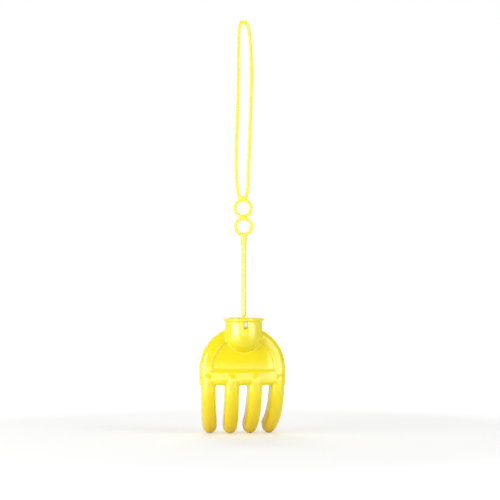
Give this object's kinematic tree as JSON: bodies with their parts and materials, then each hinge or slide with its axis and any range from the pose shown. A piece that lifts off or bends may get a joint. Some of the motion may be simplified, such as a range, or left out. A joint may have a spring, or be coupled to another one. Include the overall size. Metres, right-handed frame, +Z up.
{
  "type": "bubble wand",
  "caption": "Bubble tube cap shaped as a small claw rake, with a collar, a stopper and an upright wand that ends in toothed rings and a long toothed loop.",
  "frame": {"origin": "middle of the seat that the end of a bubble tube rests on, on the collar's axis", "axes": "+Z up along the collar and the wand, -Y towards the front of the rake, +X across the tines"},
  "size_m": [0.0576, 0.0422, 0.2767],
  "materials": {
    "handle": "glossy moulded polypropylene",
    "stopper": "milky moulded polyethylene",
    "washer": "soft foamed polyethylene",
    "wand": "slightly translucent moulded polypropylene"
  },
  "bodies": {
    "root": {"rake_handle": "handle", "stopper": "stopper", "sealing_washer": "washer", "wand": "wand"}
  },
  "joints": []
}
